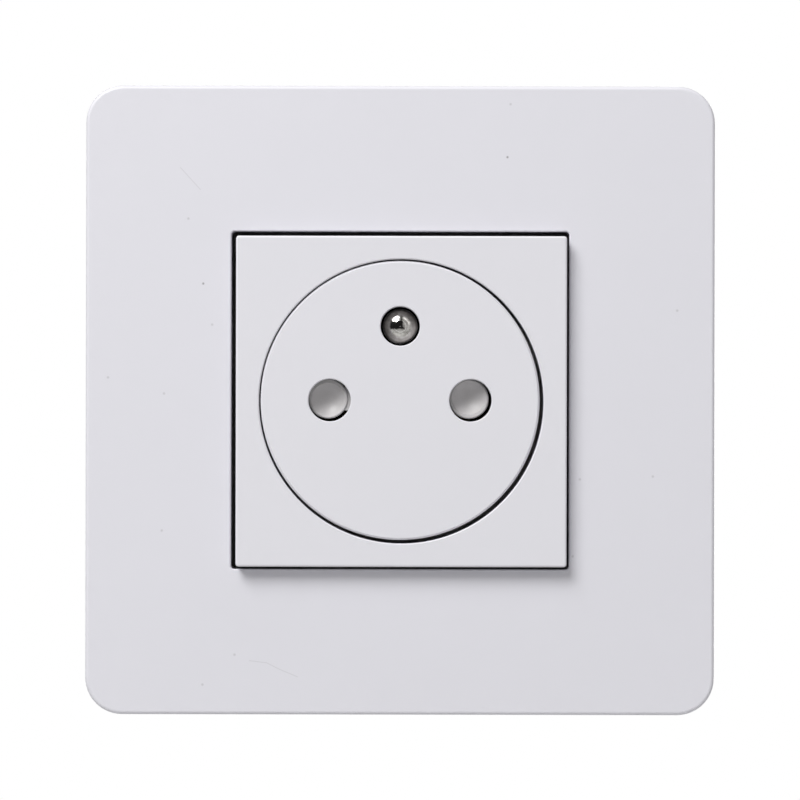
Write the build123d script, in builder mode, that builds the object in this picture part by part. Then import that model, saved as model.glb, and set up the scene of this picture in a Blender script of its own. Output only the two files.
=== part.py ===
from build123d import *

from math import asin, cos, degrees, hypot, radians, sin, sqrt
import os

# A flush wall socket for one gang: two live pins, a standing earth pin, and a round disc that is
# level with the insert until a plug pushes it in. The shutter behind the disc turns under the pins.
#
# The origin is on the wall plane, on the axis of the disc. +X is to the right, +Z is up and +Y goes
# into the wall, so the room is on the -Y side. All lengths are in millimetres, angles in degrees.

# Clearances between pieces
slide_gap = 0.3
stop_gap = 0.15
press_gap = 0.05

# The plug system
pin_spacing = 19.0
plug_pin_r = 2.4
plug_pin_length = 19.0
recess_depth = 15.0
earth_height = 10.0
earth_pin_r = 2.4
earth_pin_reach = 14.7
earth_crown_r = 2.7
earth_shoulder_r = 1.8

# Disc: a cup with its back plate, sprung forward against the end of the well
disc_r = 18.8
disc_wall = 1.5
disc_side_wall = 1.5
disc_sink = 0.15
disc_edge = 0.25
disc_step = 1.0
back_plate_t = 1.2
shutter_room = 5.4
live_hole_r = 2.85
earth_hole_gap = 0.25
hole_edge = 0.12
tube_wall = 0.9
stake_r = 0.6

# Shutter rotor
rotor_shift = (-0.22, 0.22)
post_r = 1.9
post_end_r = 1.3
post_gap = 0.2
hub_r = 4.2
hub_t = 3.2
pad_r = 2.7
pad_t = 3.0
pad_edge = 0.15
arm_w = 3.2
arm_t = 2.8
dish_sphere_r = 3.0
dish_depth = 1.05
dish_offset = 0.17
shutter_rib_t = 1.0

# Springs
disc_spring_radius = 1.9
disc_spring_wire_r = 0.2
disc_spring_turns = 6
disc_spring_skin = 1.2
disc_spring_angle = 45.0
disc_spring_room = 0.45
spring_boss_h = 2.0
shutter_spring_wire_r = 0.2
shutter_spring_turns = 2.25
shutter_spring_gap = 0.8
spring_nib_place = 6.5
spring_nib_w = 1.2

# Front shell: the square insert with the well
well_gap = 0.37
well_wall = 1.5
well_edge = 0.15
shell_margin = 1.63
shell_proud = 2.0
shell_shift = (0.16, -0.14)
shell_wall = 1.6
shell_skirt = 1.4
shell_corner_r = 0.4
shell_edge_r = 0.3

# Cover plate
plate_size = 85.0
plate_corner_r = 5.0
plate_depth = 9.0
plate_wall = 2.0
plate_rim = 1.6
plate_edge_r = 0.5
window_gap = 0.55
window_corner_r = 0.5
window_edge = 0.15
collar_wall = 1.2
collar_gap = 0.2
plate_rib_place = 14.0
plate_rib_t = 1.0
plate_rib_h = 1.5

# Fixing frame
frame_t = 2.0
screw_spacing = 60.0
slot_width = 4.2
slot_length = 7.0
frame_room = 5.4
frame_corner_r = 3.0
frame_rim_wall = 1.4
frame_rim_h = 3.0
seat_wall = 1.2
seat_h = 1.4

# Clips between the cover plate and the fixing frame
clip_place = 20.0
clip_w = 5.0
clip_t = 1.3
clip_gap = 0.15
barb_depth = 0.7
barb_h = 1.35
clip_window_h = 1.7
clip_window_inset = 0.6

# Base housing
chamber_gap = 0.4
chamber_side_wall = 2.0
chamber_wall = 1.2
floor_t = 2.0
pocket_floor = 1.65
body_wall = 1.6
body_chamfer = 6.0
body_gap = 0.8
flange_t = 1.5
flange_lap = 1.35
flange_corner_r = 1.0
lug_depth = 1.4
lug_h = 3.4
lug_w = 8.0
lug_place = 10.0

# Hooks that hold the front shell in the corners of the base housing
hook_t = 1.4
hook_w = 4.0
hook_gap = 0.35
hook_barb = 1.2
hook_barb_h = 2.2
hook_catch = 3.3

# Contacts and terminals
strip_t = 0.7
contact_w = 6.0
tail_w = 4.4
throat_gap = 0.3
throat_place = 2.6
flare = 1.0
web_half = 3.2
strip_bend_r = 0.5
tail_height = 8.55
earth_rivet_r = 1.7
earth_rivet_head_r = 2.5
earth_rivet_head_h = 0.8
cage_wall = 0.8
cage_thread_wall = 2.0
cage_room_w = 4.8
cage_room_h = 4.8
cage_place = 1.8
terminal_screw_r = 1.5
terminal_head_r = 2.6
terminal_head_h = 2.0
terminal_head_gap = 0.4
terminal_screw_tip = 0.4
driver_gap = 0.3
wire_hole_r = 1.95
wire_funnel = 0.8
wire_tube_wall = 0.9
wire_tube_reach = 1.85
bay_rib_t = 1.2
bay_rib_place = 4.9
bay_rib_top = 7.0

# Rear cover and its two screws
rear_cover_t = 2.0
cover_screw_r = 1.2
cover_screw_head_r = 2.3
cover_screw_l = 8.0
cover_screw_inset = (6.1, 7.1)
cover_boss_r = 2.8
driver_slot_w = 0.8
driver_slot_depth = 0.7

# Depths, from the room to the inside of the wall
plate_front = -plate_depth
plate_back = plate_front + plate_wall
shell_front = plate_front - shell_proud
disc_front = shell_front + disc_sink
disc_inner = disc_front + disc_wall
back_plate_front = disc_inner + shutter_room
back_plate_back = back_plate_front + back_plate_t
well_end = back_plate_front - stop_gap
flange_back = -frame_t
flange_front = flange_back - flange_t
floor_front = back_plate_back + recess_depth + slide_gap
floor_back = floor_front + floor_t
earth_tip = disc_front + recess_depth - earth_pin_reach
plug_pin_end = disc_front + recess_depth + plug_pin_length
web_front = plug_pin_end + stop_gap
bay_back = web_front + strip_t
cover_back = bay_back + rear_cover_t
wire_tube_front = bay_back - wire_tube_reach
cage_front = floor_back + cage_place
cage_l = wire_tube_front - stop_gap - cage_front

# Widths, from the disc outwards
live_x = pin_spacing / 2
earth_hole_r = earth_pin_r + earth_hole_gap
well_r = disc_r + well_gap
disc_flange_r = disc_r + disc_step
chamber_r = disc_flange_r + chamber_gap
shell_size = 2 * (well_r + well_wall + shell_margin)
window_size = shell_size + 2 * window_gap
body_size = 2 * (chamber_r + chamber_side_wall)
frame_window = body_size + 2 * body_gap
flange_size = window_size + 2 * flange_lap
seat_size = flange_size + 2 * slide_gap
frame_size = plate_size - 2 * (plate_rim + frame_room)
bay_size = body_size - 2 * body_wall
bay_chamfer = body_chamfer - body_wall * (2 - sqrt(2))
bay_corner = (bay_size - bay_chamfer) / sqrt(2)
spring_bore_r = disc_spring_radius + disc_spring_wire_r + disc_spring_room
spring_boss_r = disc_spring_radius - disc_spring_wire_r - disc_spring_room / 2
disc_spring_place = disc_r - disc_spring_skin - spring_bore_r
cover_screw_place = [bay_size / 2 - inset for inset in cover_screw_inset]
corner_angles = (45, 135, 225, 315)

# The shutter turns until its pads are clear of the live holes, with a little to spare. Its stop
# ribs begin where the corner of its nib passes them.
shift_length = hypot(*rotor_shift)
pad_clear_r = pad_r + shift_length
shutter_turn = 2 * degrees(asin((pad_clear_r + live_hole_r + stop_gap) / pin_spacing))
pad_to_rib = degrees(asin((pad_clear_r + slide_gap + shutter_rib_t / 2) / live_x))
shutter_rib_angles = (pad_to_rib, -shutter_turn - pad_to_rib)
shutter_spring_radius = post_r + post_gap + shutter_spring_gap
nib_edge = shutter_spring_radius - shutter_spring_wire_r - press_gap
nib_reach = hypot(spring_nib_place + spring_nib_w / 2, nib_edge)
shutter_rib_start = nib_reach + shift_length + slide_gap


def facing(y, centre=(0, 0)):
    """A plane at depth y that faces the room: its own x is +X and its own y is +Z."""
    return Plane(origin=(centre[0], y, centre[1]), x_dir=(1, 0, 0), z_dir=(0, -1, 0))


def section(angle, centre=(0, 0)):
    """A plane through the axis at an angle: its own x runs outwards and its own y into the wall."""
    outwards = Vector(cos(radians(angle)), 0, sin(radians(angle)))
    origin = (centre[0], 0, centre[1])
    return Plane(origin=origin, x_dir=outwards, z_dir=outwards.cross(Vector(0, 1, 0)))


def coil(front, height, radius, turns, centre, angle=0):
    """The line of a coil about an axis along Y. It starts at depth front and at an angle from +X."""
    outwards = (cos(radians(angle)), 0, sin(radians(angle)))
    start = Plane(origin=(centre[0], front, centre[1]), x_dir=outwards, z_dir=(0, 1, 0))
    return start.location * Helix(height / turns, height, radius)


def across(direction):
    """A direction without its part along Y, for the straight legs of a coil."""
    return Vector(direction.X, 0, direction.Z)


def wire_end(line, place):
    """The plane across a coil's wire at one end of its line: its own y lies square to the wire."""
    along = line % place
    return Plane(origin=line @ place, x_dir=along.cross(Vector(0, 1, 0)), z_dir=along)


def both_sides(place):
    """A place and its mirror image about the socket's middle."""
    return [(place[0], place[1]), (-place[0], place[1])]


os.makedirs("parts", exist_ok=True)

live_places = both_sides((live_x, 0))
cover_screw_places = both_sides(cover_screw_place)
spring_places = [
    (side * disc_spring_place * cos(radians(disc_spring_angle)),
     side * disc_spring_place * sin(radians(disc_spring_angle)))
    for side in (1, -1)
]

# Cover plate: a shallow tray with a window, a collar round the window, ribs and four clip legs
rim_size = plate_size - 2 * plate_rim
collar_size = window_size + 2 * collar_wall
collar_end = flange_front - collar_gap
frame_rim_face = frame_size / 2 - frame_rim_wall
clip_face = frame_rim_face - clip_gap
clip_window_front = flange_back - frame_rim_h + clip_window_inset
catch_y = clip_window_front + clip_gap
with BuildPart() as cover_plate:
    with BuildSketch(facing(0)):
        RectangleRounded(plate_size, plate_size, plate_corner_r)
    extrude(amount=plate_depth)
    fillet(cover_plate.faces().sort_by(Axis.Y)[0].edges(), plate_edge_r)
    with BuildSketch(facing(0)):
        RectangleRounded(rim_size, rim_size, plate_corner_r - plate_rim)
    extrude(amount=plate_depth - plate_wall, mode=Mode.SUBTRACT)
    with BuildSketch(facing(plate_back + plate_rib_h)):
        with GridLocations(0, 2 * plate_rib_place, 1, 2):
            Rectangle(rim_size, plate_rib_t)
        with GridLocations(2 * plate_rib_place, 0, 2, 1):
            Rectangle(plate_rib_t, rim_size)
    extrude(amount=plate_rib_h)
    with BuildSketch(facing(collar_end)):
        RectangleRounded(collar_size, collar_size, window_corner_r + collar_wall)
    extrude(amount=collar_end - plate_back)
    with BuildSketch(*[Plane.XY.offset(z) for z in (clip_place, -clip_place)]):
        with BuildLine():
            Polyline(
                (clip_face, plate_back),
                (clip_face, catch_y),
                (clip_face + barb_depth, catch_y),
                (clip_face, catch_y + barb_h),
                (clip_face - clip_t, catch_y + barb_h),
                (clip_face - clip_t, plate_back),
                close=True,
            )
        make_face()
        mirror(about=Plane.YZ)
    extrude(amount=clip_w / 2, both=True)
    with BuildSketch(facing(collar_end)):
        RectangleRounded(window_size, window_size, window_corner_r)
    extrude(amount=collar_end - plate_front, mode=Mode.SUBTRACT)
    window_rim = cover_plate.faces().sort_by(Axis.Y)[0].inner_wires()[0]
    chamfer(window_rim.edges(), window_edge)
cover_plate.part.label = "cover_plate"
export_step(cover_plate.part, "parts/cover_plate.step")

# Fixing frame: a flat square with the window for the mechanism, a seat ring round it, a rim that
# takes the cover plate's clips, and screw slots on the wall box's two axes
half_spacing = screw_spacing / 2
with BuildPart() as fixing_frame:
    with BuildSketch(facing(0)):
        RectangleRounded(frame_size, frame_size, frame_corner_r)
    extrude(amount=frame_t)
    with BuildSketch(facing(flange_back)):
        RectangleRounded(frame_size, frame_size, frame_corner_r)
        RectangleRounded(
            frame_size - 2 * frame_rim_wall,
            frame_size - 2 * frame_rim_wall,
            frame_corner_r - frame_rim_wall,
            mode=Mode.SUBTRACT,
        )
    extrude(amount=frame_rim_h)
    with BuildSketch(facing(flange_back)):
        Rectangle(seat_size + 2 * seat_wall, seat_size + 2 * seat_wall)
        Rectangle(seat_size, seat_size, mode=Mode.SUBTRACT)
    extrude(amount=seat_h)
    with BuildSketch(facing(0)):
        Rectangle(frame_window, frame_window)
        with Locations((half_spacing, 0), (-half_spacing, 0)):
            SlotOverall(slot_length, slot_width)
        with Locations((0, half_spacing), (0, -half_spacing)):
            SlotOverall(slot_length, slot_width, rotation=90)
    extrude(amount=frame_t, mode=Mode.SUBTRACT)
    with BuildSketch(*[Plane.XY.offset(z) for z in (clip_place, -clip_place)]):
        with Locations((0, clip_window_front + clip_window_h / 2)):
            Rectangle(frame_size, clip_window_h)
            Rectangle(2 * frame_rim_face, clip_window_h, mode=Mode.SUBTRACT)
    extrude(amount=clip_w / 2 + slide_gap, both=True, mode=Mode.SUBTRACT)
fixing_frame.part.label = "fixing_frame"
export_step(fixing_frame.part, "parts/fixing_frame.step")

# Front shell: the square insert, hollow outside the tube of the well, with a hook in each corner
hook_face = bay_corner - hook_gap
with BuildPart() as front_shell:
    with BuildSketch(facing(flange_front, shell_shift)):
        RectangleRounded(shell_size, shell_size, shell_corner_r)
    extrude(amount=flange_front - shell_front)
    fillet(front_shell.faces().sort_by(Axis.Y)[0].edges(), shell_edge_r)
    with BuildSketch(facing(flange_front, shell_shift)):
        Rectangle(shell_size - 2 * shell_skirt, shell_size - 2 * shell_skirt)
        Circle(well_r + well_wall, mode=Mode.SUBTRACT)
    extrude(amount=flange_front - shell_front - shell_wall, mode=Mode.SUBTRACT)
    with BuildSketch(facing(flange_front, shell_shift)):
        Circle(well_r + well_wall)
    extrude(amount=flange_front - well_end, mode=Mode.SUBTRACT)
    with BuildSketch(facing(flange_front, shell_shift)):
        Circle(well_r)
    extrude(amount=flange_front - shell_front, mode=Mode.SUBTRACT)
    well_rim = front_shell.faces().sort_by(Axis.Y)[0].inner_wires()[0]
    chamfer(well_rim.edges(), well_edge)
    with BuildSketch(*[section(a) for a in corner_angles]):
        with BuildLine():
            Polyline(
                (hook_face - hook_t, shell_front + shell_wall),
                (hook_face, shell_front + shell_wall),
                (hook_face, hook_catch),
                (hook_face + hook_barb, hook_catch),
                (hook_face, hook_catch + hook_barb_h),
                (hook_face - hook_t, hook_catch + hook_barb_h),
                close=True,
            )
        make_face()
    extrude(amount=hook_w / 2, both=True)
front_shell.part.label = "front_shell"
export_step(front_shell.part, "parts/front_shell.step")

# Base housing: a round chamber for the disc in front of the floor, the terminal bay behind it,
# hollow corners for the hooks, a flange that rests on the frame and lugs that catch behind it
rib_h = bay_back - floor_back
screw_y = cage_front + cage_l / 2
cage_top = -tail_height + strip_t / 2 + cage_wall
cage_bottom = cage_top - cage_wall - cage_room_h - cage_thread_wall
with BuildPart() as base_housing:
    with BuildSketch(facing(bay_back)):
        Rectangle(body_size, body_size)
        chamfer(vertices(), body_chamfer)
    extrude(amount=bay_back - flange_front)
    with BuildSketch(facing(flange_back)):
        RectangleRounded(flange_size, flange_size, flange_corner_r)
    extrude(amount=flange_t)
    with BuildSketch(facing(flange_front)):
        Rectangle(bay_size, bay_size)
        chamfer(vertices(), bay_chamfer)
        Circle(chamber_r + chamber_wall, mode=Mode.SUBTRACT)
    extrude(amount=flange_front - floor_front + pocket_floor, mode=Mode.SUBTRACT)
    with BuildSketch(facing(flange_front)):
        Circle(chamber_r)
    extrude(amount=flange_front - floor_front, mode=Mode.SUBTRACT)
    with BuildSketch(facing(bay_back)):
        Rectangle(bay_size, bay_size)
        chamfer(vertices(), bay_chamfer)
    extrude(amount=rib_h, mode=Mode.SUBTRACT)
    with BuildSketch(facing(floor_front)):
        with Locations(*spring_places):
            Circle(spring_boss_r)
    extrude(amount=spring_boss_h)
    with BuildSketch(facing(bay_back)):
        with Locations((bay_rib_place, 0), (-bay_rib_place, 0)):
            with Locations((0, (bay_rib_top - bay_size / 2) / 2)):
                Rectangle(bay_rib_t, bay_rib_top + bay_size / 2)
        with Locations(*cover_screw_places):
            Circle(cover_boss_r)
    extrude(amount=rib_h)
    with BuildSketch(facing(cage_front)):
        with Locations((0, (cage_top + cage_bottom) / 2)):
            Rectangle(2 * live_x + cage_room_w, bay_rib_t)
    extrude(amount=cage_place)
    with BuildSketch(facing(bay_back)):
        with Locations(*cover_screw_places):
            Circle(cover_screw_r + press_gap)
    extrude(amount=cover_screw_l, mode=Mode.SUBTRACT)
    with BuildSketch(facing(floor_back)):
        with Locations(*live_places):
            Circle(live_hole_r)
        with Locations((0, earth_height)):
            Circle(earth_pin_r + press_gap)
    extrude(amount=floor_t, mode=Mode.SUBTRACT)
    with BuildSketch(Plane.XY.offset(-body_size / 2)):
        with Locations(*[(x, screw_y) for x in (-live_x, 0, live_x)]):
            Circle(terminal_head_r + driver_gap)
    extrude(amount=body_wall, mode=Mode.SUBTRACT)
    with BuildSketch(*[section(a) for a in corner_angles]):
        with Locations((bay_corner + body_wall / 2, hook_catch + hook_barb_h / 2)):
            Rectangle(body_wall + stop_gap, hook_barb_h + 2 * stop_gap)
    extrude(amount=hook_w / 2 + slide_gap, both=True, mode=Mode.SUBTRACT)
    with BuildSketch(*[Plane.XY.offset(z) for z in (lug_place, -lug_place)]):
        with BuildLine():
            Polyline(
                (body_size / 2, stop_gap),
                (body_size / 2 + lug_depth, stop_gap),
                (body_size / 2, stop_gap + lug_h),
                close=True,
            )
        make_face()
        mirror(about=Plane.YZ)
    extrude(amount=lug_w / 2, both=True)
base_housing.part.label = "base_housing"
export_step(base_housing.part, "parts/base_housing.step")

# Disc: a cup with the pin holes, a tube round the earth pin, tubes for the springs, the pivot of
# the shutter, its stop ribs and the stakes that hold the back plate
rib_length = disc_r - disc_side_wall - shutter_rib_start
stake_place = disc_r - disc_side_wall / 2
with BuildPart() as disc_face:
    with BuildSketch(facing(back_plate_front)):
        Circle(disc_r)
    extrude(amount=back_plate_front - disc_front)
    chamfer(disc_face.faces().sort_by(Axis.Y)[0].edges(), disc_edge)
    with BuildSketch(facing(back_plate_front)):
        Circle(disc_r - disc_side_wall)
    extrude(amount=shutter_room, mode=Mode.SUBTRACT)
    with BuildSketch(facing(back_plate_front)):
        with Locations((0, earth_height)):
            Circle(earth_hole_r + tube_wall)
        with Locations(*spring_places):
            Circle(spring_bore_r + tube_wall)
        with Locations(rotor_shift):
            Circle(post_r)
        for angle in shutter_rib_angles:
            with PolarLocations(shutter_rib_start + rib_length / 2, 2, start_angle=angle):
                Rectangle(rib_length, shutter_rib_t)
        Circle(disc_r - disc_side_wall / 2, mode=Mode.INTERSECT)
    extrude(amount=shutter_room)
    with BuildSketch(facing(back_plate_back)):
        with PolarLocations(stake_place, 4):
            Circle(stake_r)
        with Locations(rotor_shift):
            Circle(post_end_r)
    extrude(amount=back_plate_t)
    with BuildSketch(facing(back_plate_front)):
        with Locations(*spring_places):
            Circle(spring_bore_r)
    extrude(amount=shutter_room, mode=Mode.SUBTRACT)
    with BuildSketch(facing(back_plate_front)):
        with Locations(*live_places):
            Circle(live_hole_r)
        with Locations((0, earth_height)):
            Circle(earth_hole_r)
    extrude(amount=back_plate_front - disc_front, mode=Mode.SUBTRACT)
    for rim in disc_face.faces().sort_by(Axis.Y)[0].inner_wires():
        chamfer(rim.edges(), hole_edge)
disc_face.part.label = "disc_face"
export_step(disc_face.part, "parts/disc_face.step")

# Back plate of the disc: it closes the cup, and its rim is the disc's stop behind the well
with BuildPart() as disc_back:
    with BuildSketch(facing(back_plate_back)):
        Circle(disc_flange_r)
        with Locations(*live_places):
            Circle(live_hole_r, mode=Mode.SUBTRACT)
        with Locations((0, earth_height)):
            Circle(earth_hole_r, mode=Mode.SUBTRACT)
        with Locations(*spring_places):
            Circle(spring_bore_r, mode=Mode.SUBTRACT)
        with PolarLocations(stake_place, 4):
            Circle(stake_r + press_gap, mode=Mode.SUBTRACT)
        with Locations(rotor_shift):
            Circle(post_end_r + press_gap, mode=Mode.SUBTRACT)
    extrude(amount=back_plate_t)
disc_back.part.label = "disc_back"
export_step(disc_back.part, "parts/disc_back.step")

# Shutter rotor: a hub on the post, two arms, two dished pads and a nib for the spring. Each dish
# lies a little to one side, so that the pin slides down its slope and turns the rotor.
pad_front = disc_inner + slide_gap
pad_back = pad_front + pad_t
hub_back = pad_front + hub_t
nib_back = hub_back + shutter_spring_wire_r + press_gap + shutter_spring_wire_r
dish_y = pad_front - (dish_sphere_r - dish_depth)
with BuildPart() as shutter_rotor:
    with BuildSketch(facing(pad_back, rotor_shift)):
        with Locations(*live_places):
            Circle(pad_r)
    extrude(amount=pad_t)
    chamfer(shutter_rotor.faces().filter_by(Axis.Y).group_by(Axis.Y)[0].edges(), pad_edge)
    with BuildSketch(facing(pad_back, rotor_shift)):
        Rectangle(pin_spacing, arm_w)
    extrude(amount=arm_t)
    with BuildSketch(facing(hub_back, rotor_shift)):
        Circle(hub_r)
    extrude(amount=hub_t)
    with BuildSketch(facing(nib_back, rotor_shift)):
        with Locations((spring_nib_place, -nib_edge / 2)):
            Rectangle(spring_nib_w, nib_edge)
    extrude(amount=nib_back - pad_back + arm_t)
    with BuildSketch(facing(hub_back, rotor_shift)):
        Circle(post_r + post_gap)
    extrude(amount=hub_t, mode=Mode.SUBTRACT)
    for side in (1, -1):
        dish_x = rotor_shift[0] + side * live_x
        dish_z = rotor_shift[1] + side * dish_offset
        with Locations((dish_x, dish_y, dish_z)):
            Sphere(dish_sphere_r, mode=Mode.SUBTRACT)
shutter_rotor.part.label = "shutter_rotor"
export_step(shutter_rotor.part, "parts/shutter_rotor.step")

# Torsion spring of the shutter: a short coil round the post. Its front leg lies under the nib of
# the rotor, and its back leg leans on the tube of the earth pin.
shutter_spring_front = hub_back + shutter_spring_wire_r + press_gap
shutter_spring_back = back_plate_front - shutter_spring_wire_r - press_gap
shutter_spring_h = shutter_spring_back - shutter_spring_front
back_leg_x = rotor_shift[0] - shutter_spring_radius + shutter_spring_wire_r
earth_tube_reach = earth_hole_r + tube_wall + press_gap
back_leg = earth_height - sqrt(earth_tube_reach**2 - back_leg_x**2) - rotor_shift[1]
front_leg = spring_nib_place + spring_nib_w
coil_line = coil(
    shutter_spring_front,
    shutter_spring_h,
    shutter_spring_radius,
    shutter_spring_turns,
    rotor_shift,
    angle=-90,
)
with BuildPart() as shutter_spring:
    with BuildSketch(wire_end(coil_line, 0)) as coil_section:
        Rectangle(2 * shutter_spring_wire_r, 2 * shutter_spring_wire_r)
    sweep(path=coil_line, is_frenet=True)
    extrude(coil_section.sketch, front_leg, dir=across(-(coil_line % 0)))
    with BuildSketch(wire_end(coil_line, 1)):
        Rectangle(2 * shutter_spring_wire_r, 2 * shutter_spring_wire_r)
    extrude(amount=back_leg, dir=across(coil_line % 1))
shutter_spring.part.label = "shutter_spring"
export_step(shutter_spring.part, "parts/shutter_spring.step")

# The two springs of the disc stand on bosses of the chamber floor
disc_spring_front = disc_inner + disc_spring_wire_r + press_gap
disc_spring_back = floor_front - disc_spring_wire_r - press_gap
disc_spring_h = disc_spring_back - disc_spring_front
for name, place in zip(("disc_spring_upper", "disc_spring_lower"), spring_places):
    coil_line = coil(
        disc_spring_front, disc_spring_h, disc_spring_radius, disc_spring_turns, place
    )
    with BuildPart() as disc_spring:
        with BuildSketch(wire_end(coil_line, 0)):
            Rectangle(2 * disc_spring_wire_r, 2 * disc_spring_wire_r)
        sweep(path=coil_line, is_frenet=True)
    disc_spring.part.label = name
    export_step(disc_spring.part, f"parts/{name}.step")

# Earth pin: a turned pin, seated on the strap and riveted over behind it. Its tip is a flat dome
# that runs into a tighter shoulder.
strap_back = floor_back + strip_t
shoulder_x = earth_pin_r - earth_shoulder_r
shoulder_angle = degrees(asin(shoulder_x / (earth_crown_r - earth_shoulder_r)))
shoulder_y = earth_tip + earth_crown_r - sqrt(
    (earth_crown_r - earth_shoulder_r) ** 2 - shoulder_x**2
)
with BuildPart() as earth_pin:
    with BuildSketch(section(0, (0, earth_height))):
        with BuildLine():
            CenterArc((0, earth_tip + earth_crown_r), earth_crown_r, -90, shoulder_angle)
            CenterArc(
                (shoulder_x, shoulder_y),
                earth_shoulder_r,
                shoulder_angle - 90,
                90 - shoulder_angle,
            )
            Polyline(
                (earth_pin_r, shoulder_y),
                (earth_pin_r, floor_back),
                (earth_rivet_r, floor_back),
                (earth_rivet_r, strap_back),
                (earth_rivet_head_r, strap_back),
                (earth_rivet_r, strap_back + earth_rivet_head_h),
                (0, strap_back + earth_rivet_head_h),
                (0, earth_tip),
            )
        make_face()
    revolve(axis=Axis((0, 0, earth_height), (0, 1, 0)))
earth_pin.part.label = "earth_pin"
export_step(earth_pin.part, "parts/earth_pin.step")

# Earth strap: a flat strip behind the floor, with an eye round the rivet and a tail that is bent
# back into the earth terminal
eye_r = earth_rivet_head_r + strip_t
tail_end = cage_front + cage_l - stop_gap
with BuildPart() as earth_strap:
    with BuildSketch(Plane.YZ):
        with BuildLine():
            FilletPolyline(
                (floor_back + strip_t / 2, earth_height),
                (floor_back + strip_t / 2, -tail_height),
                (tail_end, -tail_height),
                radius=strip_bend_r,
            )
        trace(line_width=strip_t)
    extrude(amount=tail_w / 2, both=True)
    with BuildSketch(facing(strap_back, (0, earth_height))):
        Circle(eye_r)
    extrude(amount=strip_t)
    with BuildSketch(facing(strap_back, (0, earth_height))):
        Circle(earth_rivet_r + press_gap)
    extrude(amount=strip_t, mode=Mode.SUBTRACT)
earth_strap.part.label = "earth_strap"
export_step(earth_strap.part, "parts/earth_strap.step")

# Live contacts: one strip each, bent into a web behind the pin's end, two leaves that narrow to a
# throat and flare again, and a tail that runs back into the terminal
throat = plug_pin_r - throat_gap + strip_t / 2
leaf_front = floor_back + strip_t / 2
web_y = web_front + strip_t / 2
for name, x in (("line_contact", live_x), ("neutral_contact", -live_x)):
    with BuildPart() as contact:
        with BuildSketch(Plane.YZ.offset(x)):
            with BuildLine():
                FilletPolyline(
                    (leaf_front, throat + flare),
                    (leaf_front + throat_place, throat),
                    (web_y, web_half),
                    (web_y, -web_half),
                    (leaf_front + throat_place, -throat),
                    (leaf_front, -throat - flare),
                    (leaf_front, -tail_height),
                    (cage_front - stop_gap, -tail_height),
                    radius=strip_bend_r,
                )
            trace(line_width=strip_t)
        extrude(amount=contact_w / 2, both=True)
        with BuildSketch(Plane.YZ.offset(x)):
            with BuildLine():
                Line((cage_front - stop_gap, -tail_height), (tail_end, -tail_height))
            trace(line_width=strip_t)
        extrude(amount=tail_w / 2, both=True)
    contact.part.label = name
    export_step(contact.part, f"parts/{name}.step")

# Terminals: a square cage round the tail of each strip, and a slotted screw through its thick wall
cage_w = cage_room_w + 2 * cage_wall
cage_h = cage_top - cage_bottom
room_middle = cage_top - cage_wall - cage_room_h / 2
thread_end = cage_bottom + cage_thread_wall + terminal_screw_tip
head_top = cage_bottom - terminal_head_gap
terminals = (("line", live_x), ("neutral", -live_x), ("earth", 0))
for name, x in terminals:
    with BuildPart() as cage:
        with BuildSketch(facing(cage_front, (x, 0))):
            with Locations((0, (cage_top + cage_bottom) / 2)):
                Rectangle(cage_w, cage_h)
            with Locations((0, room_middle)):
                Rectangle(cage_room_w, cage_room_h, mode=Mode.SUBTRACT)
        extrude(amount=-cage_l)
        with BuildSketch(Plane.XY.offset(cage_bottom)):
            with Locations((x, screw_y)):
                Circle(terminal_screw_r + press_gap)
        extrude(amount=cage_thread_wall, mode=Mode.SUBTRACT)
    cage.part.label = f"{name}_terminal"
    export_step(cage.part, f"parts/{name}_terminal.step")

    with BuildPart() as screw:
        with BuildSketch(Plane.XY.offset(head_top)):
            with Locations((x, screw_y)):
                Circle(terminal_screw_r)
        extrude(amount=thread_end - head_top)
        with BuildSketch(Plane.XY.offset(head_top - terminal_head_h)):
            with Locations((x, screw_y)):
                Circle(terminal_head_r)
        extrude(amount=terminal_head_h)
        with BuildSketch(Plane.XY.offset(head_top - terminal_head_h)):
            with Locations((x, screw_y)):
                Rectangle(2 * terminal_head_r, driver_slot_w)
        extrude(amount=driver_slot_depth, mode=Mode.SUBTRACT)
    screw.part.label = f"{name}_terminal_screw"
    export_step(screw.part, f"parts/{name}_terminal_screw.step")

# Rear cover: it closes the terminal bay, with a funnelled tube in front of each terminal
wire_height = (cage_bottom + cage_thread_wall - tail_height - strip_t / 2) / 2
with BuildPart() as rear_cover:
    with BuildSketch(facing(cover_back)):
        Rectangle(body_size, body_size)
        chamfer(vertices(), body_chamfer)
    extrude(amount=rear_cover_t)
    with BuildSketch(facing(cover_back)):
        with Locations(*[(x, wire_height) for _, x in terminals]):
            Circle(wire_hole_r + wire_tube_wall)
    extrude(amount=cover_back - wire_tube_front)
    with BuildSketch(facing(cover_back)):
        with Locations(*[(x, wire_height) for _, x in terminals]):
            Circle(wire_hole_r)
    extrude(amount=cover_back - wire_tube_front, mode=Mode.SUBTRACT)
    with BuildSketch(facing(cover_back)):
        with Locations(*cover_screw_places):
            Circle(cover_screw_r + press_gap)
    extrude(amount=rear_cover_t, mode=Mode.SUBTRACT)
    back_rims = rear_cover.faces().sort_by(Axis.Y)[-1].inner_wires()
    for rim in back_rims:
        wide = rim.edges()[0].radius > (wire_hole_r + cover_screw_r) / 2
        chamfer(rim.edges(), wire_funnel if wide else cover_screw_head_r - cover_screw_r)
rear_cover.part.label = "rear_cover"
export_step(rear_cover.part, "parts/rear_cover.step")

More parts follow.
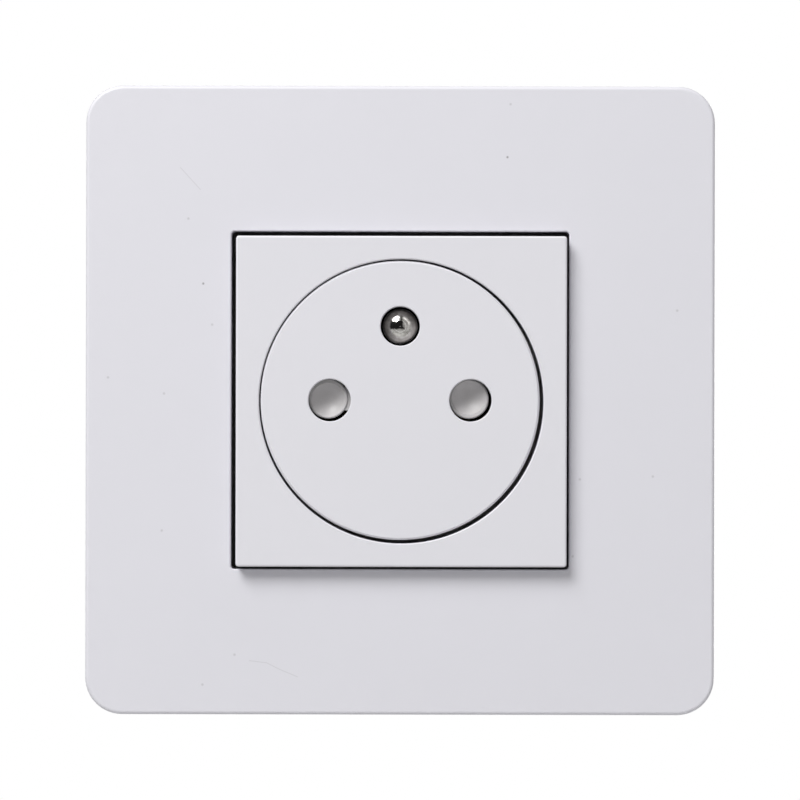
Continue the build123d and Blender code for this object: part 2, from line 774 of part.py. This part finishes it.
# The two countersunk screws of the rear cover
with BuildPart() as cover_screws:
    for x, z in cover_screw_places:
        with BuildSketch(section(0, (x, z))):
            with BuildLine():
                Polyline(
                    (0, cover_back),
                    (cover_screw_head_r, cover_back),
                    (cover_screw_r, cover_back - (cover_screw_head_r - cover_screw_r)),
                    (cover_screw_r, cover_back - cover_screw_l),
                    (0, cover_back - cover_screw_l - cover_screw_r),
                    close=True,
                )
            make_face()
        revolve(axis=Axis((x, 0, z), (0, 1, 0)))
        with BuildSketch(facing(cover_back, (x, z))):
            Rectangle(2 * cover_screw_head_r, driver_slot_w)
        extrude(amount=driver_slot_depth, mode=Mode.SUBTRACT)
cover_screws.part.label = "rear_cover_screws"
export_step(cover_screws.part, "parts/rear_cover_screws.step")
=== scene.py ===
"""Looks of a flush wall socket: finishes, round-wire springs, lamps and the camera."""

import math

import bpy
from mathutils import Matrix, Vector

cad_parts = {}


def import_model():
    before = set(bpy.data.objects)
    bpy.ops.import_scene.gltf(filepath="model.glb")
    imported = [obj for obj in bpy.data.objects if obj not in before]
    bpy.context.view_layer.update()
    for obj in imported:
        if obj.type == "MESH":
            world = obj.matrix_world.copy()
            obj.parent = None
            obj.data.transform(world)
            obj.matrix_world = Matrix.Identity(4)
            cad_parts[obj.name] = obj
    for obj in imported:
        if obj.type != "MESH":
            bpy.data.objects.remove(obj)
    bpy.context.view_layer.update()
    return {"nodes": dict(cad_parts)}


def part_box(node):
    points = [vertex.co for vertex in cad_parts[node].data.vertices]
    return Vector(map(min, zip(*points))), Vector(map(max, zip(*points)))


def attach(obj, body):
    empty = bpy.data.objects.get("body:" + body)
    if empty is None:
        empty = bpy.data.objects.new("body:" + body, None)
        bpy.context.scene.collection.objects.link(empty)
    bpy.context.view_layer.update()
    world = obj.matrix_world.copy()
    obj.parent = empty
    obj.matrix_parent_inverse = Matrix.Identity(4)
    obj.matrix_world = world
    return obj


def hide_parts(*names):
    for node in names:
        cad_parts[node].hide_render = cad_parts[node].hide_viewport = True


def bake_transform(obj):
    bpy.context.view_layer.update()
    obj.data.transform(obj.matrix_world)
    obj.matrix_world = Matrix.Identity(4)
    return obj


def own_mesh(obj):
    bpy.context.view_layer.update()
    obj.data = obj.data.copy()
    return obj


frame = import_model()
nodes = frame["nodes"]
MM = 0.001

# The photograph: 800 pixels wide, seen square on from in front of the plate
IMAGE_SIZE = 800
PIXELS_PER_MM = 7.40
CENTRE_PIXEL = (400.1, 400.4)
CAMERA_DISTANCE = 0.60
CAMERA_NEAR = 0.05
CAMERA_ROLL = math.radians(-0.12)

# Places of the object, read from the frame
PLATE_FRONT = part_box("cover_plate")[0].y
PIN_LOW, PIN_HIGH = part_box("earth_pin")
PIN_TIP = PIN_LOW.y
PIN_HEIGHT = (PIN_LOW.z + PIN_HIGH.z) / 2


def photo_point(x_pixel, y_pixel):
    """The point of the plate's front that shows at a pixel of the photograph."""
    x = (x_pixel - CENTRE_PIXEL[0]) / PIXELS_PER_MM * MM
    z = (CENTRE_PIXEL[1] - y_pixel) / PIXELS_PER_MM * MM
    return Vector((x, PLATE_FRONT, z))


def new_object(name, data):
    """An object with that data, linked to the scene."""
    thing = bpy.data.objects.new(name, data)
    bpy.context.scene.collection.objects.link(thing)
    return thing


# Most values of a noise node lie between these
NOISE_LOW, NOISE_HIGH = 0.3, 0.7


class Graph:
    """Short ways to add nodes to a node tree."""

    def __init__(self, tree):
        self.tree = tree

    def add(self, kind, **settings):
        node = self.tree.nodes.new(kind)
        for key, value in settings.items():
            setattr(node, key, value)
        return node

    def put(self, value, socket):
        """Sets a socket to a number or a triple, or links another socket to it."""
        if isinstance(value, (int, float)):
            socket.default_value = value
        elif isinstance(value, (tuple, Vector)):
            socket.default_value = tuple(value)
        else:
            self.tree.links.new(value, socket)

    def math(self, operation, *values):
        """A Math node on sockets or numbers."""
        node = self.add("ShaderNodeMath", operation=operation)
        for socket, value in zip(node.inputs, values):
            self.put(value, socket)
        return node.outputs["Value"]

    def vector(self, operation, *values):
        """A Vector Math node on sockets or triples. It gives its number where it has one."""
        node = self.add("ShaderNodeVectorMath", operation=operation)
        for socket, value in zip(node.inputs, values):
            self.put(value, socket)
        as_number = operation in ("DISTANCE", "DOT_PRODUCT", "LENGTH")
        return node.outputs["Value" if as_number else "Vector"]

    def spread(self, source, low, high, low_in=NOISE_LOW, high_in=NOISE_HIGH):
        """A value from low to high as the source goes from low_in to high_in."""
        node = self.add("ShaderNodeMapRange")
        names = ("From Min", "From Max", "To Min", "To Max")
        for name, value in zip(names, (low_in, high_in, low, high)):
            node.inputs[name].default_value = value
        self.put(source, node.inputs["Value"])
        return node.outputs["Result"]

    def mix(self, share, first, second):
        """A number from first to second as the share goes from 0 to 1."""
        node = self.add("ShaderNodeMix")
        numbers = [s for s in node.inputs if s.type == "VALUE"]
        for socket, value in zip(numbers, (share, first, second)):
            self.put(value, socket)
        return node.outputs[0]

    def band(self, source, low, high, edge):
        """1 where the source is between low and high and 0 elsewhere, with soft edges."""
        rise = self.spread(source, 0, 1, low - edge, low + edge)
        fall = self.spread(source, 1, 0, high - edge, high + edge)
        return self.math("MULTIPLY", rise, fall)


class Surface(Graph):
    """A material with a principled shader. A viewer that can't read its nodes shows its plain values."""

    def __init__(self, name, colour, roughness, metallic=0.0):
        self.material = bpy.data.materials.new(name)
        self.material.use_nodes = True
        super().__init__(self.material.node_tree)
        self.shader = self.tree.nodes["Principled BSDF"]
        self.shader.inputs["Base Color"].default_value = (*colour, 1)
        self.shader.inputs["Roughness"].default_value = roughness
        self.shader.inputs["Metallic"].default_value = metallic
        self.place = self.add("ShaderNodeTexCoord").outputs["Object"]
        self.height = None

    def noise(self, size, stretch=(1, 1, 1), detail=2.0, at=None):
        """Noise with features of about that size in metres, longer along an axis by its stretch."""
        squeeze = tuple(1 / s for s in stretch)
        where = self.vector("MULTIPLY", at or self.place, squeeze)
        node = self.add("ShaderNodeTexNoise")
        node.inputs["Scale"].default_value = 1 / size
        node.inputs["Detail"].default_value = detail
        self.put(where, node.inputs["Vector"])
        return node.outputs["Fac"]

    def rough(self, source, low, high):
        """A roughness from low to high over the usual range of a noise."""
        self.put(self.spread(source, low, high), self.shader.inputs["Roughness"])

    def tint(self, source, *colours):
        """A base colour between two colours, each a triple or a socket."""
        node = self.add("ShaderNodeMix", data_type="RGBA")
        colour_sockets = [s for s in node.inputs if s.type == "RGBA"]
        for socket, colour in zip(colour_sockets, colours):
            self.put((*colour, 1) if isinstance(colour, tuple) else colour, socket)
        self.put(source, node.inputs["Factor"])
        result = [s for s in node.outputs if s.type == "RGBA"][0]
        self.put(result, self.shader.inputs["Base Color"])
        return result

    def reach(self, start, end):
        """The distance from the line between two points."""
        along = end - start
        from_start = self.vector("SUBTRACT", self.place, start)
        share = self.vector("DOT_PRODUCT", from_start, along / along.length_squared)
        share = self.math("MINIMUM", self.math("MAXIMUM", share, 0.0), 1.0)
        on_line = self.add("ShaderNodeVectorMath", operation="SCALE")
        self.put(along, on_line.inputs[0])
        self.put(share, on_line.inputs["Scale"])
        return self.vector("DISTANCE", from_start, on_line.outputs["Vector"])

    def emboss(self, source, depth):
        """Adds a height to the surface's bump, in metres for a source from 0 to 1."""
        scaled = self.math("MULTIPLY", source, depth / MM)
        self.height = scaled if self.height is None else self.math("ADD", self.height, scaled)

    def finish(self):
        """The material, with its bump linked to the shader."""
        if self.height is not None:
            bump = self.add("ShaderNodeBump")
            bump.inputs["Distance"].default_value = MM
            self.put(self.height, bump.inputs["Height"])
            self.put(bump.outputs["Normal"], self.shader.inputs["Normal"])
        return self.material


def shades(colour, contrast):
    """A darker and a lighter shade, each that share of the colour away from it."""
    darker = tuple(c * (1 - contrast) for c in colour)
    lighter = tuple(c * (1 + contrast) for c in colour)
    return darker, lighter


# White mouldings
WHITE = (0.738, 0.731, 0.776)
INSERT_WHITE = (0.747, 0.740, 0.779)
GRAIN_SIZE = 0.11 * MM
PLATE_GRAIN_DEPTH = 0.0012 * MM
INSERT_GRAIN_DEPTH = 0.8 * PLATE_GRAIN_DEPTH


def white_plastic(name, colour, grain_depth):
    """Satin white plastic with a fine moulded grain and a slow drift of tone."""
    surface = Surface(name, colour, roughness=0.42)
    surface.shader.inputs["Specular IOR Level"].default_value = 0.45
    drift = surface.noise(14 * MM, detail=1.0)
    surface.tint(drift, *shades(colour, contrast=0.008))
    surface.emboss(surface.noise(GRAIN_SIZE, detail=3.0), grain_depth)
    surface.rough(surface.noise(1.6 * MM), low=0.39, high=0.46)
    return surface


# Marks on the plate, by their pixels in the photograph. A scratch runs from pixel to pixel
DARK_SPECKS = ((203, 284), (507, 157))
FAINT_SPECKS = (
    (212, 325), (108, 378), (164, 394), (162, 531), (235, 655), (203, 685),
    (510, 104), (677, 310), (653, 476), (580, 479), (573, 556), (188, 219),
)
SCRATCHES = (((180, 168), (200, 190)), ((250, 661), (267, 663), (281, 670), (298, 677)))
DARK_SPECK_R, DARK_SPECK_STRENGTH = 0.14 * MM, 0.9
FAINT_SPECK_R, FAINT_SPECK_STRENGTH = 0.16 * MM, 0.32
SCRATCH_CORE, SCRATCH_EDGE, SCRATCH_STRENGTH = 0.02 * MM, 0.09 * MM, 0.22
MARK_COLOUR = (0.30, 0.29, 0.30)


def speck_marks(surface, pixels, radius, strength):
    """Round specks at those pixels, each a value that falls to 0 round it."""
    marks = []
    for pixel in pixels:
        reach = surface.vector("DISTANCE", surface.place, photo_point(*pixel))
        marks.append(surface.spread(reach, strength, 0.0, 0.5 * radius, 1.5 * radius))
    return marks


def scratch_marks(surface):
    """Thin scratches, each piece of them a value that falls to 0 beside its line."""
    marks = []
    for scratch in SCRATCHES:
        for start, end in zip(scratch, scratch[1:]):
            reach = surface.reach(photo_point(*start), photo_point(*end))
            marks.append(surface.spread(reach, SCRATCH_STRENGTH, 0.0, SCRATCH_CORE, SCRATCH_EDGE))
    return marks


def plate_plastic():
    """The cover plate's plastic, with the small marks that the photograph shows."""
    surface = white_plastic("plate_white", WHITE, PLATE_GRAIN_DEPTH)
    marks = speck_marks(surface, DARK_SPECKS, DARK_SPECK_R, DARK_SPECK_STRENGTH)
    marks += speck_marks(surface, FAINT_SPECKS, FAINT_SPECK_R, FAINT_SPECK_STRENGTH)
    marks += scratch_marks(surface)
    marked = 0.0
    for mark in marks:
        marked = surface.math("MAXIMUM", marked, mark)
    clean = surface.shader.inputs["Base Color"].links[0].from_socket
    surface.tint(marked, clean, MARK_COLOUR)
    return surface.finish()


def moulded(name, colour, roughness, grain_size, grain_depth):
    """Plain moulded plastic with a spark-eroded grain and faint flow marks."""
    surface = Surface(name, colour, roughness)
    flow = surface.noise(7 * MM, stretch=(1, 1, 3), detail=3.0)
    grain = surface.noise(grain_size, detail=3.0)
    tone = surface.spread(surface.mix(0.3, flow, grain), 0, 1)
    surface.tint(tone, *shades(colour, contrast=0.09))
    surface.emboss(grain, grain_depth)
    surface.rough(surface.noise(2.5 * MM), low=roughness - 0.05, high=roughness + 0.07)
    return surface.finish()


# The earth pin's nickel: as a whole, where it is stained and clean, and the painted dark reflection on
# its dome's flank and rim
NICKEL = (0.60, 0.585, 0.55)
STAINED_NICKEL = (0.40, 0.385, 0.36)
CLEAN_NICKEL = (0.72, 0.71, 0.68)
PAINTED_FLANK_SHADE_NICKEL = (0.30, 0.275, 0.25)
PAINTED_RIM_SHADE_NICKEL = (0.07, 0.065, 0.06)


def nickel():
    """Polished nickel on a turned pin: fine rings about its axis, stains, and a painted dark reflection
    on the flank and rim of its dome.
    """
    surface = Surface("nickel", NICKEL, roughness=0.16, metallic=1.0)
    from_axis = surface.vector("SUBTRACT", surface.place, (0, 0, PIN_HEIGHT))
    radius = surface.vector("LENGTH", surface.vector("MULTIPLY", from_axis, (1, 0, 1)))
    depth = surface.vector("DOT_PRODUCT", surface.place, (0, 1, 0))
    combine = surface.add("ShaderNodeCombineXYZ")
    surface.put(radius, combine.inputs["X"])
    surface.put(depth, combine.inputs["Y"])
    profile = combine.outputs["Vector"]

    rings = surface.noise(0.07 * MM, detail=3.0, at=profile)
    tool_marks = surface.noise(0.24 * MM, detail=1.0, at=profile)
    surface.emboss(rings, depth=0.0026 * MM)
    surface.emboss(tool_marks, depth=0.018 * MM)
    surface.emboss(surface.noise(0.35 * MM, detail=3.0), depth=0.007 * MM)

    stains = surface.mix(0.45, surface.noise(0.5 * MM, detail=3.0), tool_marks)
    stains = surface.spread(stains, 0, 1, low_in=0.38, high_in=0.62)
    stained = surface.tint(stains, STAINED_NICKEL, CLEAN_NICKEL)

    behind_tip = surface.math("SUBTRACT", depth, PIN_TIP)
    on_dome = surface.spread(behind_tip, 1, 0, low_in=1.2 * MM, high_in=1.9 * MM)
    # Painted shade: the dome's flank is darkened to stand in for the dark reflection of the shaded hole
    # round the pin
    painted_flank_shade = surface.spread(radius, 0, 0.6, low_in=1.3 * MM, high_in=2.0 * MM)
    with_painted_flank_shade = surface.tint(surface.math("MULTIPLY", painted_flank_shade, on_dome), stained, PAINTED_FLANK_SHADE_NICKEL)
    # Painted shade: the dome's rim is darkened nearly to black, a painted dark reflection of the shaded
    # hole round the pin
    rim = surface.spread(radius, 0, 0.85, low_in=2.05 * MM, high_in=2.3 * MM)
    surface.tint(surface.math("MULTIPLY", rim, on_dome), with_painted_flank_shade, PAINTED_RIM_SHADE_NICKEL)
    surface.rough(surface.noise(0.3 * MM), low=0.05, high=0.12)
    return surface.finish()


def metal(name, dark, light, roughness, stretch, line_size, line_depth):
    """Rolled, drawn or plated metal with lines along one axis and a patchy tone."""
    surface = Surface(name, light, roughness, metallic=1.0)
    surface.tint(surface.noise(2.2 * MM, detail=4.0), dark, light)
    surface.emboss(surface.noise(line_size, stretch=stretch), line_depth)
    surface.rough(surface.noise(0.8 * MM), low=roughness - 0.08, high=roughness + 0.1)
    return surface.finish()


plate_white = plate_plastic()
insert_white = white_plastic("insert_white", INSERT_WHITE, INSERT_GRAIN_DEPTH).finish()
nickel_plated = nickel()
shutter_grey = moulded(
    "shutter_grey",
    (0.537, 0.523, 0.521),
    roughness=0.38,
    grain_size=0.2 * MM,
    grain_depth=0.001 * MM,
)
housing_dark = moulded(
    "housing_dark",
    (0.085, 0.083, 0.082),
    roughness=0.5,
    grain_size=0.16 * MM,
    grain_depth=0.004 * MM,
)
frame_grey = moulded(
    "frame_grey",
    (0.23, 0.235, 0.24),
    roughness=0.52,
    grain_size=0.18 * MM,
    grain_depth=0.005 * MM,
)
brass = metal(
    "brass",
    dark=(0.66, 0.44, 0.17),
    light=(0.80, 0.58, 0.27),
    roughness=0.28,
    stretch=(1, 1, 12),
    line_size=0.12 * MM,
    line_depth=0.003 * MM,
)
plated_steel = metal(
    "plated_steel",
    dark=(0.50, 0.51, 0.53),
    light=(0.66, 0.67, 0.68),
    roughness=0.32,
    stretch=(1, 10, 1),
    line_size=0.12 * MM,
    line_depth=0.003 * MM,
)
spring_steel = metal(
    "spring_steel",
    dark=(0.34, 0.34, 0.35),
    light=(0.52, 0.52, 0.53),
    roughness=0.3,
    stretch=(1, 1, 1),
    line_size=0.3 * MM,
    line_depth=0.002 * MM,
)


def dress(names, material):
    """Gives CAD nodes their material."""
    for name in names:
        slots = nodes[name].data.materials
        slots.clear()
        slots.append(material)


dress(["cover_plate"], plate_white)
dress(["front_shell", "disc_face"], insert_white)
dress(["shutter_rotor", "disc_back"], shutter_grey)
dress(["base_housing", "rear_cover"], housing_dark)
dress(["fixing_frame"], frame_grey)
dress(["earth_pin"], nickel_plated)
dress(["earth_strap", "line_contact", "neutral_contact"], brass)
dress([n for n in nodes if "terminal" in n or n == "rear_cover_screws"], plated_steel)
dress([n for n in nodes if "spring" in n], spring_steel)


# Springs, wound from round wire
WIRE_R = 0.2 * MM
WIRE_SIDES = 12
POINTS_PER_TURN = 32
CLOSED_PITCH = 2.2 * WIRE_R
DISC_COIL_TURNS = 8
SHUTTER_COIL_R = 2.9 * MM
SHUTTER_COIL_TURNS = 2.25


def wire(name, points):
    """A round wire along points, with flat ends and smooth sides."""
    verts, faces = [], []
    across = None
    for i, point in enumerate(points):
        before, after = points[max(i - 1, 0)], points[min(i + 1, len(points) - 1)]
        along = (after - before).normalized()
        guess = across if across is not None else along.orthogonal()
        across = (guess - along * guess.dot(along)).normalized()
        other = along.cross(across)
        for k in range(WIRE_SIDES):
            turn = 2 * math.pi * k / WIRE_SIDES
            verts.append(point + WIRE_R * (math.cos(turn) * across + math.sin(turn) * other))
    for i in range(len(points) - 1):
        for k in range(WIRE_SIDES):
            a = i * WIRE_SIDES + k
            b = i * WIRE_SIDES + (k + 1) % WIRE_SIDES
            faces.append((a, b, b + WIRE_SIDES, a + WIRE_SIDES))
    faces.append(list(range(WIRE_SIDES))[::-1])
    faces.append(list(range(len(verts) - WIRE_SIDES, len(verts))))
    mesh = bpy.data.meshes.new(name)
    mesh.from_pydata(verts, [], faces)
    for face in mesh.polygons:
        face.use_smooth = len(face.vertices) == 4
    mesh.materials.append(spring_steel)
    piece = new_object(name, mesh)
    return piece


def coil(centre, radius, front, back, turns, start, closed):
    """Points of a coil about an axis along Y. The end turns of a closed coil lie side by side."""
    length = back - front
    count = int(turns * POINTS_PER_TURN)
    points = []
    for i in range(count + 1):
        turned = turns * i / count
        if not closed:
            depth = length * turned / turns
        elif turned < 1:
            depth = CLOSED_PITCH * turned
        elif turned > turns - 1:
            depth = length - CLOSED_PITCH * (turns - turned)
        else:
            depth = CLOSED_PITCH + (length - 2 * CLOSED_PITCH) * (turned - 1) / (turns - 2)
        angle = start - 2 * math.pi * turned
        x = centre[0] + radius * math.cos(angle)
        z = centre[1] + radius * math.sin(angle)
        points.append(Vector((x, front + depth, z)))
    return points


def disc_springs():
    """The two springs of the disc, with closed ends."""
    for node in ("disc_spring_upper", "disc_spring_lower"):
        low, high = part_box(node)
        centre = ((low.x + high.x) / 2, (low.z + high.z) / 2)
        radius = (high.x - low.x) / 2 - WIRE_R
        front, back = low.y + WIRE_R, high.y - WIRE_R
        points = coil(centre, radius, front, back, DISC_COIL_TURNS, start=0, closed=True)
        piece = wire(f"{node}_wire", points)
        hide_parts(node)
        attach(piece, "socket")
        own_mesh(piece)


def shutter_spring():
    """The torsion spring: its front leg lies under the rotor's nib, its back leg on the pin's tube."""
    low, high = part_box("shutter_spring")
    centre = (low.x + WIRE_R + SHUTTER_COIL_R, low.z + WIRE_R + SHUTTER_COIL_R)
    front, back = low.y + WIRE_R, high.y - WIRE_R
    bottom = -math.pi / 2
    points = coil(
        centre, SHUTTER_COIL_R, front, back, SHUTTER_COIL_TURNS, start=bottom, closed=False
    )
    points.insert(0, Vector((high.x, front, points[0].z)))
    points.append(Vector((points[-1].x, back, high.z)))
    piece = wire("shutter_spring_wire", points)
    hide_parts("shutter_spring")
    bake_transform(piece)


def camera():
    """The photograph's camera, square on to the plate with a slight roll."""
    data = bpy.data.cameras.new("camera")
    half_width = IMAGE_SIZE / 2 / PIXELS_PER_MM * MM
    data.lens = data.sensor_width / 2 / (half_width / CAMERA_DISTANCE)
    data.clip_start = CAMERA_NEAR
    eye = new_object("camera", data)
    aim = photo_point(IMAGE_SIZE / 2, IMAGE_SIZE / 2)
    upright = Matrix.Rotation(math.pi / 2, 4, "X")
    roll = Matrix.Rotation(CAMERA_ROLL, 4, "Y")
    eye.matrix_world = Matrix.Translation(aim - Vector((0, CAMERA_DISTANCE, 0))) @ roll @ upright
    bpy.context.scene.camera = eye


def lamp(name, place, size, watts):
    """A soft square lamp, aimed at the middle of the socket."""
    data = bpy.data.lights.new(name, "AREA")
    data.shape = "SQUARE"
    data.size = size
    data.energy = watts
    light = new_object(name, data)
    light.location = place
    light.rotation_euler = (-Vector(place)).to_track_quat("-Z", "Y").to_euler()


# The soft fill: its mean strength, and a vector to its bright side, longer for a less even fill
FILL = 0.34
FILL_LEAN = (0.35, 0.0, 0.25)

# The room that polished metal mirrors, in millimetres as it shows on the pin's dome
DOME_R = 2.7
ROOM_R_EDGE = (1.40, 1.50)
ROOM_LIGHT = 0.60
WINDOW_LIGHT = 1.5
WINDOW_R_SPAN = (1.19, 1.41)
WINDOW_Z_SPAN = (0.3, 1.35)
WINDOW_LEFT_EDGE = (0.35, 0.5)
SHADOW_LIGHT = 0.02
CAMERA_SIDE_Z_SPAN = (-0.37, 0.78)
CAMERA_SIDE_RIGHT_EDGE = (0.42, 0.54)
CAMERA_SIDE_SLANT = 0.24
STAND_X_SPAN = (0.02, 0.28)
STAND_Z_SPAN = (0.7, 1.45)
STAND_SHADE = 0.85

# Outside the room's circle: dark, with light from below and from the right
RING_LEAN = (0.6, 0.0, -0.8)
RING_LEAN_SPAN = (-0.55, 0.85)
RING_DARK, RING_LIGHT = 0.01, 0.80


def mirrored_room(graph, direction):
    """Dark on the camera's side, light below and to the right, and a ring outside a middle circle.

    A span holds where a thing begins and ends, and an edge holds where a fade does.
    """
    half_way = graph.vector("NORMALIZE", graph.vector("ADD", direction, (0, -1, 0)))
    on_dome = graph.vector("MULTIPLY", half_way, (DOME_R, 0, DOME_R))
    apart = graph.add("ShaderNodeSeparateXYZ")
    graph.put(on_dome, apart.inputs["Vector"])
    x, z = apart.outputs["X"], apart.outputs["Z"]
    radius = graph.vector("LENGTH", on_dome)

    window = graph.band(radius, *WINDOW_R_SPAN, edge=0.04)
    window = graph.math("MULTIPLY", window, graph.band(z, *WINDOW_Z_SPAN, edge=0.1))
    window = graph.math("MULTIPLY", window, graph.spread(x, 0, 1, *WINDOW_LEFT_EDGE))
    room = graph.mix(window, ROOM_LIGHT, WINDOW_LIGHT)

    slant = graph.math("ADD", x, graph.math("MULTIPLY", z, CAMERA_SIDE_SLANT))
    camera_side = graph.band(z, *CAMERA_SIDE_Z_SPAN, edge=0.06)
    left_of_edge = graph.spread(slant, 1, 0, *CAMERA_SIDE_RIGHT_EDGE)
    camera_side = graph.math("MULTIPLY", camera_side, left_of_edge)
    stand = graph.band(z, *STAND_Z_SPAN, edge=0.08)
    stand = graph.math("MULTIPLY", stand, graph.band(x, *STAND_X_SPAN, edge=0.05))
    dark = graph.math("MAXIMUM", camera_side, graph.math("MULTIPLY", stand, STAND_SHADE))
    room = graph.mix(dark, room, SHADOW_LIGHT)

    lean = graph.vector("DOT_PRODUCT", direction, RING_LEAN)
    ring = graph.spread(lean, RING_DARK, RING_LIGHT, *RING_LEAN_SPAN)
    in_ring = graph.spread(radius, 0, 1, *ROOM_R_EDGE)
    return graph.mix(in_ring, room, ring)


def world():
    """The studio: white to the camera, a soft fill for the mouldings, and a room for mirrors."""
    studio = bpy.data.worlds.new("studio")
    bpy.context.scene.world = studio
    studio.use_nodes = True
    graph = Graph(studio.node_tree)
    direction = graph.add("ShaderNodeTexCoord").outputs["Generated"]
    path = graph.add("ShaderNodeLightPath").outputs
    lean = graph.vector("DOT_PRODUCT", direction, FILL_LEAN)
    fill = graph.spread(lean, 0, 2 * FILL, -1, 1)
    strength = graph.mix(path["Is Glossy Ray"], fill, mirrored_room(graph, direction))
    for ray in ("Is Camera Ray", "Is Transmission Ray"):
        strength = graph.mix(path[ray], strength, 1.0)
    background = studio.node_tree.nodes["Background"]
    background.inputs["Color"].default_value = (1, 1, 1, 1)
    graph.put(strength, background.inputs["Strength"])


# The floor, and the part of its radius over which it fades to white
FLOOR_Z = -0.45
FLOOR_R = 0.6
FLOOR_SIDES = 96
FLOOR_GREY = (0.80, 0.80, 0.80)
FADE_START, FADE_END = 0.3 * FLOOR_R, 0.97 * FLOOR_R


def floor_finish():
    """A pale matt floor that fades to white at its rim, for the camera only."""
    surface = Surface("floor", FLOOR_GREY, roughness=0.8)
    surface.emboss(surface.noise(2 * MM), depth=0.01 * MM)
    material = surface.finish()
    from_middle = surface.vector("LENGTH", surface.vector("MULTIPLY", surface.place, (1, 1, 0)))
    fade = surface.spread(from_middle, 0, 1, FADE_START, FADE_END)
    to_camera = surface.add("ShaderNodeLightPath").outputs["Is Camera Ray"]
    white = surface.add("ShaderNodeEmission")
    blend = surface.add("ShaderNodeMixShader")
    surface.put(surface.math("MULTIPLY", fade, to_camera), blend.inputs["Fac"])
    surface.put(surface.shader.outputs["BSDF"], blend.inputs[1])
    surface.put(white.outputs["Emission"], blend.inputs[2])
    surface.put(blend.outputs["Shader"], surface.tree.nodes["Material Output"].inputs["Surface"])
    return material


def floor():
    """A round floor below the socket, out of the front view."""
    rim = []
    for i in range(FLOOR_SIDES):
        turn = 2 * math.pi * i / FLOOR_SIDES
        rim.append((FLOOR_R * math.cos(turn), FLOOR_R * math.sin(turn), FLOOR_Z))
    mesh = bpy.data.meshes.new("floor")
    mesh.from_pydata(rim, [], [list(range(FLOOR_SIDES))])
    mesh.materials.append(floor_finish())
    new_object("floor", mesh)


disc_springs()
shutter_spring()
camera()
lamp("key", place=(-0.42, -0.61, 0.73), size=0.53, watts=11.3)
lamp("back", place=(0.3, 1.45, 0.1), size=0.8, watts=11.0)
world()
floor()
bpy.context.scene.view_settings.view_transform = "Standard"
